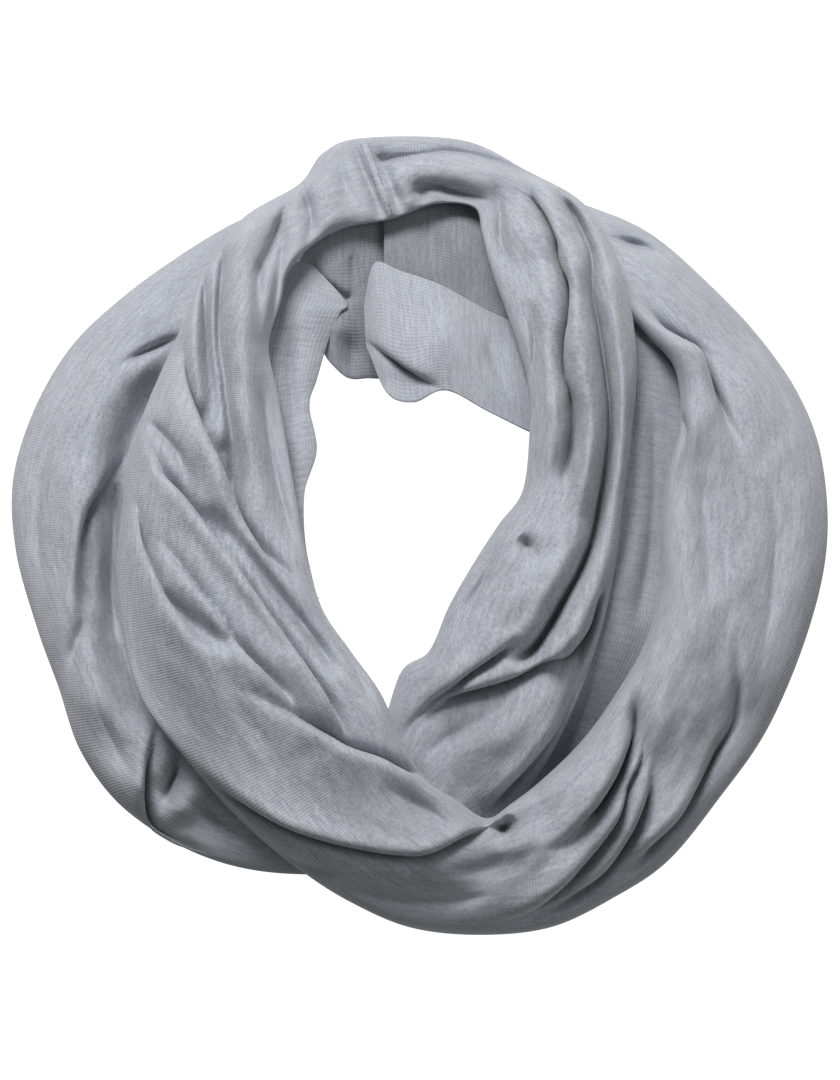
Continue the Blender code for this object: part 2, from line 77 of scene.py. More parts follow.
LOOP: tuple[LoopRow, ...] = (
    LoopRow("cross seam", 392, 219, 362, 138, -2, 4, 9, 20),
    LoopRow("collar left", 345, 228, 323, 153, -6, 2, 9, 19),
    LoopRow("collar end", 312, 246, 299, 184, -16, -6, 12, 16),
    LoopRow("shoulder left", 288, 272, 243, 218, -27, -15, 16, 14),
    LoopRow("left 1", 281, 302, 205, 270, -31, -22, 18, 15),
    LoopRow("left 2", 269, 345, 180, 330, -32, -22, 20, 16),
    LoopRow("left 3", 278, 395, 150, 397, -32, -22, 21, 16),
    LoopRow("left 4", 287, 445, 129, 455, -32, -22, 22, 16),
    LoopRow("left 5", 296, 497, 122, 512, -32, -22, 23, 16),
    LoopRow("left 6", 306, 552, 117, 575, -32, -22, 24, 16),
    LoopRow("left 7", 322, 608, 124, 640, -32, -22, 24, 16),
    LoopRow("left 8", 350, 650, 142, 700, -32, -22, 24, 15),
    LoopRow("left 9", 380, 692, 180, 752, -32, -22, 24, 14),
    LoopRow("bottom 1", 401, 738, 240, 820, -30, -16, 24, 13),
    LoopRow("bottom 2", 425, 779, 300, 870, -26, -12, 24, 13),
    LoopRow("bottom 3", 455, 799, 352, 903, -22, -8, 24, 15),
    LoopRow("bottom 4", 486, 818, 412, 928, -20, -5, 23, 17),
    LoopRow("bottom 5", 512, 803, 482, 935, -18, -3, 23, 18),
    LoopRow("bottom 6", 545, 777, 552, 927, -14, 0, 23, 19),
    LoopRow("bottom 7", 584, 738, 615, 897, -10, 4, 23, 19),
    LoopRow("right 1", 618, 690, 668, 861, -7, 8, 23, 19),
    LoopRow("right 2", 646, 640, 718, 800, -6, 12, 23, 19),
    LoopRow("right 3", 659, 585, 768, 728, -6, 16, 23, 19),
    LoopRow("right 4", 661, 530, 808, 632, -6, 18, 23, 19),
    LoopRow("right 5", 667, 478, 827, 545, -5, 20, 23, 19),
    LoopRow("right 6", 680, 422, 822, 460, -4, 21, 22, 19),
    LoopRow("right 7", 675, 370, 800, 397, -2, 22, 21, 19),
    LoopRow("right 8", 648, 336, 760, 338, 4, 24, 18, 19),
    LoopRow("right 9", 618, 306, 707, 282, 12, 28, 15, 18),
    LoopRow("shoulder right", 590, 292, 648, 232, 25, 34, 12, 16),
    LoopRow("behind 1", 548, 302, 583, 204, 46, 41, 10, 15),
    LoopRow("behind 2", 480, 314, 500, 178, 74, 45, 9, 15),
    LoopRow("behind 3", 400, 322, 400, 170, 84, 47, 9, 15),
    LoopRow("behind 4", 325, 318, 312, 192, 72, 42, 9, 15),
    LoopRow("behind 5", 272, 312, 238, 221, 44, 34, 11, 15),
    LoopRow("outer 1", 238, 332, 176, 258, 22, 28, 14, 16),
    LoopRow("outer 2", 210, 368, 118, 301, 11, 23, 17, 17),
    LoopRow("outer 3", 184, 412, 70, 348, 11, 20, 19, 18),
    LoopRow("outer 4", 166, 455, 34, 410, 10, 18, 20, 19),
    LoopRow("outer 5", 156, 505, 13, 480, 10, 18, 21, 19),
    LoopRow("outer 6", 152, 560, 16, 552, 10, 18, 21, 19),
    LoopRow("outer 7", 158, 620, 37, 628, 10, 17, 21, 19),
    LoopRow("outer 8", 178, 680, 58, 686, 11, 16, 20, 18),
    LoopRow("outer 9", 208, 728, 82, 754, 8, 15, 18, 17),
    LoopRow("under 1", 250, 756, 128, 812, 11, 14, 15, 16),
    LoopRow("under 2", 300, 768, 205, 857, 14, 14, 12, 15),
    LoopRow("under 3", 345, 762, 290, 874, 15, 14, 11, 14),
    LoopRow("under 4", 378, 735, 390, 866, 14, 14, 10, 14),
    LoopRow("inner 1", 401, 672, 488, 822, 6, 12, 12, 14),
    LoopRow("inner 2", 429, 651, 536, 778, -2, 6, 15, 14),
    LoopRow("inner 3", 449, 606, 575, 705, -8, -2, 18, 14),
    LoopRow("inner 4", 473, 564, 602, 628, -13, -7, 20, 14),
    LoopRow("inner 5", 499, 524, 616, 560, -17, -12, 21, 14),
    LoopRow("inner 6", 522, 492, 624, 495, -19, -14, 21, 14),
    LoopRow("inner 7", 529, 440, 632, 430, -20, -16, 21, 14),
    LoopRow("inner 8", 529, 388, 637, 370, -21, -18, 20, 14),
    LoopRow("inner 9", 512, 328, 631, 308, -21, -18, 18, 14),
    LoopRow("inner 10", 492, 272, 613, 248, -18, -15, 15, 14),
    LoopRow("inner 11", 482, 234, 582, 202, -13, -9, 12, 15),
    LoopRow("collar right", 474, 208, 528, 171, -6, 0, 9, 18),
    LoopRow("collar top", 436, 204, 462, 140, -2, 4, 8, 20),
)


class FoldKind(Enum):
    """What a fold does to the cloth along its path."""

    RIDGE = "a rounded rise"
    CREASE = "a pinched valley"
    LAP = "a layer that hangs over the cloth beside it, high on the right hand of its path"


class Fold(NamedTuple):
    """One fold: its height, the reach of its slopes and its lips' lean in mm, and its path."""

    kind: FoldKind
    height: float
    width: float
    lean: float
    path: tuple[float, ...]


def ridge(height: float, width: float, *path: float) -> Fold:
    """A ridge along x and y in turn."""
    return Fold(FoldKind.RIDGE, height, width, 0, path)


def crease(height: float, width: float, lean: float, *path: float) -> Fold:
    """A crease along x and y in turn."""
    return Fold(FoldKind.CREASE, height, width, lean, path)


def lap(height: float, width: float, lean: float, *path: float) -> Fold:
    """A lap along x and y in turn."""
    return Fold(FoldKind.LAP, height, width, lean, path)


COLLAR_FOLDS: tuple[Fold, ...] = (
    ridge(2.6, 2.2, 395, 224, 386, 200, 378, 180, 368, 156, 359, 130),
    crease(6, 3, 2.2, 386, 227, 377, 203, 369, 184, 359, 160, 350, 134),
    crease(6, 3, 2.2, 404, 220, 395, 196, 387, 176, 377, 152, 368, 128),
    ridge(9, 8, 396, 198, 406, 176, 425, 167, 460, 171, 500, 178, 520, 190),
    crease(8, 6, 2, 368, 164, 388, 159, 410, 157, 452, 153, 500, 163, 545, 184),
    crease(9, 6, 2.2, 410, 190, 424, 186, 438, 187, 452, 192, 480, 199, 500, 216),
    crease(5, 4, 1, 430, 205, 421, 192, 414, 186),
    ridge(5, 9, 318, 168, 326, 200, 322, 236),
    crease(9, 6, 2.2, 302, 182, 308, 204, 311, 226, 300, 262),
    crease(4, 5, 1, 340, 158, 344, 186, 352, 212),
    ridge(4, 9, 362, 214, 340, 222, 318, 236),
)

LEFT_FOLDS: tuple[Fold, ...] = (
    crease(13, 4, 2.2, 204, 262, 204, 310, 206, 345, 210, 380, 218, 430),
    crease(15, 6, 2.3, 226, 236, 221, 290, 220, 340, 226, 385, 230, 420, 236, 460, 244, 530),
    ridge(6, 3.2, 213, 262, 213, 330, 218, 400, 226, 450),
    ridge(8, 5, 192, 270, 193, 330, 199, 376, 210, 420),
    lap(14, 16, 5.5, 182, 318, 183, 352, 190, 392, 204, 428, 220, 462, 240, 512, 262, 548, 285, 572, 319, 604),
    crease(13, 8, 2.3, 292, 192, 280, 222, 265, 256, 258, 278, 260, 336),
    ridge(10, 9, 250, 206, 240, 260, 237, 320, 242, 400, 258, 480),
    crease(8, 6, 2.2, 288, 222, 281, 262, 275, 305, 270, 350),
    ridge(6, 8, 272, 236, 268, 290, 268, 345),
    crease(9, 8, 1.8, 258, 372, 268, 440, 280, 492, 300, 560),
    ridge(8, 14, 158, 380, 168, 430, 190, 468, 218, 512),
    crease(9, 6, 2.2, 144, 418, 160, 432, 178, 454, 200, 498),
    lap(13, 14, 5.5, 144, 440, 160, 470, 180, 492, 200, 517, 225, 550, 258, 597, 293, 647, 323, 691, 342, 725,
         350, 746),
    crease(10, 7, 2.2, 206, 500, 240, 545, 275, 588, 310, 632, 342, 680),
    lap(11, 12, 5, 152, 534, 175, 560, 200, 592, 222, 620, 243, 650, 265, 672, 288, 697, 308, 726),
    crease(4, 6, 1.2, 180, 520, 205, 556, 236, 594, 268, 634, 296, 668),
    lap(8, 10, 4.5, 128, 492, 138, 515, 143, 542, 152, 567, 168, 600, 194, 634, 220, 658),
    ridge(6, 16, 136, 570, 160, 640, 200, 690, 244, 725),
    crease(7, 8, 2, 318, 600, 340, 640, 362, 680, 380, 716),
    crease(13, 26, 0, 112, 520, 116, 600, 136, 680, 178, 744, 232, 800),
    crease(9, 12, 0, 296, 300, 290, 360, 294, 430, 304, 520),
    crease(8, 5, 2, 166, 585, 186, 612, 214, 636, 240, 660),
)

BOTTOM_FOLDS: tuple[Fold, ...] = (
    lap(14, 18, 6, 226, 686, 262, 702, 300, 719, 330, 737, 350, 748, 380, 758, 400, 768, 430, 782, 450, 795,
         466, 806, 492, 830),
    lap(13, 12, 5.5, 506, 818, 470, 834, 430, 853, 400, 855, 350, 847, 300, 833, 262, 815, 220, 788, 184, 760),
    ridge(8, 9, 222, 797, 262, 828, 310, 848, 370, 864, 430, 864, 496, 846),
    crease(9, 6, 2.2, 244, 832, 275, 851, 305, 867, 350, 879),
    crease(5, 9, 1.5, 330, 884, 390, 899, 450, 902, 505, 892),
    lap(11, 10, 4.5, 482, 828, 498, 812, 512, 800, 532, 787),
    crease(12, 5, 2.2, 492, 824, 504, 829, 514, 816),
    ridge(8, 12, 518, 814, 545, 792, 572, 768, 602, 740),
    lap(11, 12, 5, 627, 706, 630, 735, 622, 758, 606, 790, 590, 814, 566, 838, 530, 856),
    crease(11, 5.5, 2.3, 634, 684, 636, 722, 632, 742, 620, 772, 605, 800, 586, 828),
    lap(12, 10, 5.5, 646, 720, 642, 758, 630, 785, 620, 815, 605, 838, 585, 862, 560, 887, 524, 914, 480, 927),
    lap(12, 10, 5.5, 656, 744, 650, 790, 640, 820, 625, 846, 606, 872, 584, 890, 552, 910, 506, 930),
    ridge(6, 11, 480, 872, 520, 860, 556, 838, 584, 802, 606, 762),
    crease(4, 8, 1, 440, 872, 482, 868, 520, 848),
    crease(6, 8, 1.5, 378, 786, 410, 800, 440, 820, 464, 840),
)

RIGHT_FOLDS: tuple[Fold, ...] = (
    lap(19, 20, 7, 616, 282, 640, 302, 660, 324, 680, 338, 698, 349, 706, 365, 713, 388, 723, 422, 740, 468),
    crease(10, 9, 2.3, 697, 346, 712, 378, 727, 414, 744, 456),
    crease(10, 7, 2.2, 602, 238, 625, 242, 646, 248, 672, 264),
    lap(12, 10, 5, 672, 492, 682, 455, 687, 430, 681, 410, 670, 392),
    ridge(8, 10, 668, 396, 672, 440, 668, 484),
    crease(12, 13, 2.3, 737, 626, 738, 680, 733, 722, 716, 752, 700, 784, 684, 812),
    ridge(6, 10, 749, 596, 749, 660, 745, 718),
    lap(14, 14, 6, 728, 720, 702, 778, 681, 815, 656, 842, 637, 862, 606, 890),
    ridge(7, 20, 692, 490, 694, 580, 690, 660, 674, 736),
    crease(5, 10, 1.2, 716, 470, 724, 540, 727, 604),
    crease(5, 12, 1.2, 766, 470, 776, 540, 771, 610, 756, 684),
    ridge(5, 14, 790, 430, 802, 500, 800, 580, 780, 660),
    crease(6, 12, 1.2, 696, 292, 742, 338, 778, 392, 798, 446),
    crease(4, 6, 1, 700, 470, 706, 540, 708, 610),
    ridge(4, 7, 660, 640, 661, 700, 656, 756),
)

OUTER_FOLDS: tuple[Fold, ...] = (
    crease(11, 9, 2.4, 190, 334, 168, 342, 150, 350, 128, 361, 100, 381),
    ridge(7, 10, 182, 352, 150, 364, 118, 386),
    crease(5, 14, 1.2, 150, 290, 112, 322, 80, 366, 58, 420),
    crease(5, 12, 1.2, 54, 420, 40, 480, 38, 545, 50, 605),
    lap(10, 14, 3.5, 134, 440, 112, 470, 98, 492, 87, 513, 80, 543, 78, 590, 80, 630),
    crease(4, 4, 1, 93, 522, 91, 560, 88, 590, 88, 620),
    ridge(7, 8, 104, 500, 102, 546, 100, 604),
    crease(6, 5, 1.2, 117, 480, 113, 530, 112, 590, 118, 646),
    crease(5, 6, 1.2, 92, 606, 80, 632, 73, 655, 69, 696),
    crease(17, 11, 0, 196, 326, 168, 372, 146, 410, 130, 450, 122, 490, 116, 540, 112, 590, 120, 640, 138, 690,
         166, 738),
    ridge(6, 14, 100, 650, 108, 700, 130, 750),
    crease(5, 9, 1.2, 96, 700, 112, 742, 136, 780),
    lap(14, 12, 5.5, 162, 708, 150, 746, 145, 775, 144, 800, 150, 824, 166, 838, 190, 850, 222, 859),
    crease(11, 6, 2.3, 180, 738, 176, 768, 168, 792, 163, 816),
    ridge(7, 8, 194, 780, 180, 806, 178, 828),
    crease(7, 7, 2, 196, 800, 216, 822, 250, 844),
)

NECK_FOLDS: tuple[Fold, ...] = (
    lap(13, 9, 5, 564, 432, 570, 400, 563, 375, 565, 342, 569, 318, 570, 284, 560, 262, 557, 240, 540, 206, 512,
         184),
    crease(16, 5, 2.2, 556, 236, 564, 270, 569, 300, 566, 350, 573, 400, 573, 432, 562, 490),
    crease(18, 5, 2.4, 554, 186, 575, 216, 586, 240, 592, 262, 594, 300, 601, 342, 608, 390, 610, 420, 608, 452,
         600, 500, 592, 540, 580, 570, 568, 592, 550, 625, 534, 646, 508, 665),
    ridge(7, 6, 576, 230, 582, 300, 588, 360, 592, 430, 582, 520),
    ridge(6, 5, 612, 256, 619, 330, 624, 400, 620, 500),
    ridge(9, 11, 545, 258, 548, 330, 548, 400, 557, 476),
    crease(9, 7, 2.2, 530, 296, 535, 340, 532, 380, 524, 424),
    crease(11, 9, 1.6, 494, 168, 500, 210, 502, 246, 520, 284),
    crease(9, 8, 1.5, 524, 176, 536, 206, 548, 236),
    ridge(6, 8, 512, 200, 522, 236, 541, 260),
    lap(12, 10, 5, 620, 546, 607, 580, 598, 600, 590, 625, 577, 645, 566, 656, 545, 662, 520, 675, 500, 683,
         460, 696, 440, 706, 402, 740),
    crease(12, 5, 2.2, 578, 636, 568, 652, 558, 661),
    lap(10, 9, 4.5, 518, 632, 505, 648, 480, 665, 460, 678, 430, 700, 396, 738),
    lap(10, 10, 4.5, 594, 646, 572, 700, 553, 736, 530, 765, 500, 796, 478, 820),
    crease(7, 6, 2, 600, 594, 588, 640, 570, 690, 550, 728),
    crease(8, 5, 2, 518, 536, 528, 546, 538, 562),
    crease(6, 9, 1.5, 500, 534, 488, 570, 470, 604, 444, 642),
    ridge(8, 14, 562, 512, 540, 570, 510, 610, 466, 653),
    ridge(9, 14, 576, 672, 530, 712, 486, 744, 448, 772),
    crease(5, 8, 1.2, 520, 694, 486, 716, 446, 740, 420, 760),
)

# Folds of the hidden sides. A path there is a place along LOOP and a share across the band.
BACK_FOLDS: tuple[Fold, ...] = (
    crease(8, 8, 2, 20.5, 0.30, 23, 0.42, 26, 0.36, 29, 0.50, 32, 0.44),
    lap(8, 12, 4, 22, 0.72, 25, 0.64, 28, 0.70, 30.5, 0.62, 33, 0.74),
    crease(6, 7, 2, 26.5, 0.20, 29, 0.28, 31, 0.18, 33.5, 0.27),
    ridge(6, 10, 21, 0.52, 24, 0.55, 27, 0.52, 29, 0.38),
    lap(9, 12, 5, 30, 0.32, 32.5, 0.28, 35, 0.38, 38, 0.33, 40.5, 0.42),
    crease(7, 8, 2, 31, 0.60, 34, 0.52, 36.5, 0.62, 39, 0.58, 42, 0.66),
    crease(6, 7, 2, 34.5, 0.20, 37, 0.26, 40, 0.20, 43, 0.30),
    ridge(6, 11, 33, 0.80, 36, 0.78, 39, 0.80, 42, 0.76),
    crease(7, 8, 2, 38, 0.46, 41, 0.50, 43.5, 0.42, 46, 0.52),
    lap(7, 10, 4, 41, 0.30, 44, 0.36, 46.5, 0.30, 48, 0.40),
    crease(6, 8, 2, 3, 0.40, 5.5, 0.50, 8, 0.42, 11, 0.54),
    lap(7, 11, 4, 5, 0.68, 8, 0.72, 10.5, 0.62, 13, 0.70),
    crease(6, 7, 2, 7, 0.22, 10, 0.30, 13, 0.24, 16, 0.32),
    crease(8, 8, 2, 12, 0.46, 15, 0.52, 18, 0.44, 21, 0.56),
    lap(7, 11, 4, 14, 0.74, 17, 0.68, 20, 0.78, 23, 0.72),
    ridge(5, 10, 16, 0.24, 19, 0.20, 22, 0.26),
    crease(6, 7, 2, 48, 0.40, 51, 0.48, 54, 0.40, 57, 0.50),
    lap(6, 9, 3, 50, 0.66, 53, 0.60, 56, 0.70, 59, 0.62),
    crease(5, 6, 1.5, 53, 0.24, 55.5, 0.30, 58, 0.24),
    crease(6, 7, 2, 57.5, 0.44, 59.5, 0.54, 61.5, 0.46, 63.5, 0.52),
    ridge(5, 8, 58, 0.72, 60, 0.66, 62, 0.72, 64, 0.66),
    crease(5, 6, 1.5, 59, 0.26, 61, 0.20, 63, 0.28),
)

FLAP_FOLDS: tuple[Fold, ...] = (
    lap(7, 12, 4, 446, 390, 418, 376, 388, 356, 364, 336),
    crease(4, 6, 1.5, 486, 332, 494, 362, 512, 404),
    ridge(4, 10, 420, 300, 450, 330, 470, 370),
    crease(3, 7, 1, 396, 284, 424, 312, 440, 344),
    crease(3, 5, 1, 384, 372, 402, 386, 420, 398),
)

POCKET_FOLDS: tuple[Fold, ...] = (
    crease(3, 8, 1, 420, 210, 430, 240, 436, 270),
    ridge(3, 10, 456, 210, 462, 250, 470, 290),
)

INNER_BACK_FOLDS: tuple[Fold, ...] = (
    crease(8, 8, 2, 304, 250, 312, 268, 322, 283, 351, 300, 368, 292),
    lap(7, 9, 4, 323, 376, 326, 350, 332, 323, 347, 302, 370, 284),
    ridge(4, 7, 306, 256, 330, 236, 360, 224),
    crease(3, 6, 1, 344, 250, 352, 272, 356, 294),
    crease(4, 6, 1, 344, 330, 352, 352, 356, 376),
)

INNER_LEFT_FOLDS: tuple[Fold, ...] = (
    crease(4, 6, 1.5, 296, 318, 290, 360, 292, 400, 298, 440),
    ridge(3, 8, 308, 330, 304, 380, 306, 440),
    crease(3, 6, 1, 284, 420, 288, 470, 292, 520),
)

UNDER_FOLDS: tuple[Fold, ...] = (
    ridge(4, 9, 641, 380, 640, 460, 634, 540, 618, 620, 598, 690),
    crease(4, 7, 1, 652, 400, 652, 480, 646, 560, 632, 630),
    crease(4, 6, 1, 628, 360, 632, 430, 626, 510, 612, 580),
)


def catmull(p0: Array, p1: Array, p2: Array, p3: Array, share: Array) -> Array:
    """Values on the smooth curve between p1 and p2.

    Args:
        p0, p1, p2, p3: The four control values.
        share: How far from p1 to p2.

    Returns:
        The values.
    """
    square, cube = share * share, share * share * share
    bend = 2 * p0 - 5 * p1 + 4 * p2 - p3
    return 0.5 * (2 * p1 + (p2 - p0) * share + bend * square + (3 * p1 - p0 - 3 * p2 + p3) * cube)


def read_rows(rows: Array, place: Array, closed: bool) -> Array:
    """Reads a table between its rows, smoothly.

    Args:
        rows: The table, one row of numbers each.
        place: The places to read, counted in rows.
        closed: Whether the last row is followed by the first.

    Returns:
        One row of numbers for each place.
    """
    count = len(rows)
    base = np.floor(place).astype(int)
    if not closed:
        base = np.clip(base, 0, count - 2)
    share = (place - base)[:, None]
    picks = [base + step for step in (-1, 0, 1, 2)]
    picks = [pick % count if closed else np.clip(pick, 0, count - 1) for pick in picks]
    return catmull(*(rows[pick] for pick in picks), share)


def bell(value: Array) -> Array:
    """A rise to 1 at 0, that falls away smoothly on both sides."""
    return np.exp(-(value**2))


def ease(value: Array) -> Array:
    """A smooth step from 0 to 1."""
    value = np.clip(value, 0, 1)
    return value * value * (3 - 2 * value)


@dataclass(frozen=True)
class PicturePlane:
    """The plane that the scarf is drawn on, and the eye that looks at it."""

    unit: float = 400.0 / 816.0
    middle_x: float = 420.0
    middle_y: float = 540.0
    eye_distance: float = 1100.0
    elevation: float = math.radians(14.0)
    ring_slope: float = 0.50
    chest_up: float = -70.0
    chest_blend: float = 50.0
    chest_slope: float = 0.12

    def across_up(self, x: Array, y: Array) -> tuple[Array, Array]:
        """Drawing places as mm across and up."""
        return (x - self.middle_x) * self.unit, (self.middle_y - y) * self.unit

    def ring_depth(self, up: Array) -> Array:
        """Depth in mm of the ring's own lie, as it rests on shoulders and chest."""
        above, blend = up - self.chest_up, self.chest_blend
        bend = np.where(above > blend, above, np.clip(above + blend, 0, None) ** 2 / (4 * blend))
        return self.ring_slope * self.chest_up + self.chest_slope * above + (self.ring_slope - self.chest_slope) * bend

    def to_world(self, across: Array, up: Array, depth: Array) -> Array:
        """Places in front of the eye, in metres.

        Args:
            across, up: Places on the plane in mm.
            depth: Depth behind the plane in mm.

        Returns:
            One row of x, y and z for each place.
        """
        spread = 1 + depth / self.eye_distance
        sine, cosine = math.sin(self.elevation), math.cos(self.elevation)
        y = up * spread * sine + depth * cosine
        z = up * spread * cosine - depth * sine
        return np.stack([across * spread, y, z], axis=1) * MM

    def forward(self) -> Vector:
        """The direction from the scarf's middle to the eye."""
        return Vector((0, -math.cos(self.elevation), math.sin(self.elevation)))


PLANE = PicturePlane()


@dataclass(frozen=True)
class Lip:
    """How the cloth turns over at a lap or a crease: lengths in mm, and shares of a fold's own sizes."""

    turn: float = 2.6
    turn_reach: float = 3.0
    high_share: float = 0.62
    low_share: float = 0.38
    low_steep: float = 1.6
    roll: float = 6.0
    roll_start: float = 1.0
    lap_close: float = 0.7
    gap: float = 0.62
    gap_place: float = 1.2
    gap_reach: float = 1.25
    pinch: float = 0.66
    pinch_reach: float = 2.7
    pinched_lean: float = 2.2
    crease_close: float = 0.4
    shoulder: float = 0.2
    shoulder_place: float = 2.0
    depth: float = 1.35
    fade: float = 15.0
    broad_fade: float = 3.2
    longest_fade: float = 0.48
    reach: float = 4.5
    path_steps: int = 6


class FoldField:
    """The folds of one surface, read at any place on it."""

    def __init__(self, folds: Sequence[Fold], to_plane: Shape) -> None:
        """Keeps each fold with its path as closely spaced points in mm."""
        self.lip = Lip()
        self.lines: list[tuple[Fold, Array]] = []
        for fold in folds:
            points = np.array(fold.path, float).reshape(-1, 2)
            rows = np.stack(to_plane(points[:, 0], points[:, 1]), axis=1)
            steps = np.linspace(0, len(rows) - 1, (len(rows) - 1) * self.lip.path_steps + 1)
            self.lines.append((fold, read_rows(rows, steps, False)))

    def nearest(self, line: Array, x: Array, y: Array) -> tuple[Array, Array, Array, Array]:
        """The signed distance to a path, the share along it and its right-hand normal.

        Args:
            line: The path's points.
            x, y: The places.

        Returns:
            Distance, positive on the right hand, share, and the normal's x and y.
        """
        best = np.full(len(x), np.inf)
        side, share = np.zeros(len(x)), np.zeros(len(x))
        normal_x, normal_y = np.zeros(len(x)), np.zeros(len(x))
        count = len(line) - 1
        for index in range(count):
            (ax, ay), (bx, by) = line[index], line[index + 1]
            dx, dy = bx - ax, by - ay
            length = math.hypot(dx, dy) or 1e-9
            part = np.clip(((x - ax) * dx + (y - ay) * dy) / length**2, 0, 1)
            off_x, off_y = x - ax - part * dx, y - ay - part * dy
            distance = np.hypot(off_x, off_y)
            closer = distance < best
            best = np.where(closer, distance, best)
            side = np.where(closer, np.sign(off_x * dy - off_y * dx), side)
            share = np.where(closer, (index + part) / count, share)
            normal_x = np.where(closer, dy / length, normal_x)
            normal_y = np.where(closer, -dx / length, normal_y)
        return best * side, share, normal_x, normal_y

    def read(self, x: Array, y: Array) -> tuple[Array, Array, Array]:
        """Reads all the folds.

        Args:
            x, y: The places in mm.

        Returns:
            The rise in mm, and the move along x and along y in mm.
        """
        rise, move_x, move_y = np.zeros(len(x)), np.zeros(len(x)), np.zeros(len(x))
        lip = self.lip
        for fold, line in self.lines:
            margin = fold.width * lip.reach
            low, high = line.min(0) - margin, line.max(0) + margin
            near = np.flatnonzero((x > low[0]) & (x < high[0]) & (y > low[1]) & (y < high[1]))
            if not len(near):
                continue
            distance, share, normal_x, normal_y = self.nearest(line, x[near], y[near])
            length = np.linalg.norm(np.diff(line, axis=0), axis=1).sum()
            fading = min(max(lip.fade, fold.width * lip.broad_fade) / length, lip.longest_fade)
            fade = ease(share / fading) * ease((1 - share) / fading)
            away = np.abs(distance)
            if fold.kind is FoldKind.RIDGE:
                rise[near] += fold.height * fade * bell(away / fold.width)
                continue
            close = lip.crease_close if fold.kind is FoldKind.CREASE else lip.lap_close
            turned = np.tanh(distance / lip.turn) * bell(away / (lip.turn_reach * lip.turn))
            lean = -fold.lean * close * turned * fade
            move_x[near] += lean * normal_x
            move_y[near] += lean * normal_y
            tall = fold.height * lip.depth * fade
            if fold.kind is FoldKind.CREASE:
                pinch = lip.pinch * min(fold.lean / lip.pinched_lean, 1)
                valley = (1 - pinch) * bell(away / fold.width) + pinch * bell(away / lip.pinch_reach)
                shoulder = lip.shoulder * bell(away / fold.width - lip.shoulder_place)
                rise[near] += tall * (shoulder - valley)
            else:
                round_off = np.clip((distance + lip.roll_start) / lip.roll, 0, 1)
                upper = np.sqrt(np.clip(1 - (1 - round_off) ** 2, 0, 1))
                high_side = lip.high_share * np.exp(-np.maximum(distance - lip.roll, 0) / fold.width)
                low_side = lip.low_share * np.exp(-away * lip.low_steep / fold.width)
                gap = lip.gap * bell((distance + lip.gap_place) / (lip.gap_reach * lip.pinch_reach))
                rise[near] += tall * (upper * high_side - (1 - upper) * low_side - gap)
        return rise, move_x, move_y


@dataclass(frozen=True)
class Drift:
    """Slow unevenness that cloth has everywhere: long soft waves along the band."""

    height: float = 0.9
    sway: float = 1.3
    lessening: float = 0.4
    waves: tuple[tuple[float, float, float], ...] = (
        (61.0, 23.0, 0.3),
        (94.0, 37.0, 1.9),
        (47.0, 15.0, 4.1),
        (131.0, 29.0, 2.7),
        (38.0, 11.0, 5.2),
    )

    def read(self, along: Array, across: Array) -> Array:
        """The rise in mm at places on the cloth in mm."""
        total = np.zeros(len(along))
        for number, (length, breadth, phase) in enumerate(self.waves):
            swing = np.sin(along / length * 2 * math.pi + phase * 2)
            wave = np.sin(across / breadth * 2 * math.pi + phase + self.sway * swing)
            total += wave / (1 + self.lessening * number)
        return total * self.height / len(self.waves) * 2


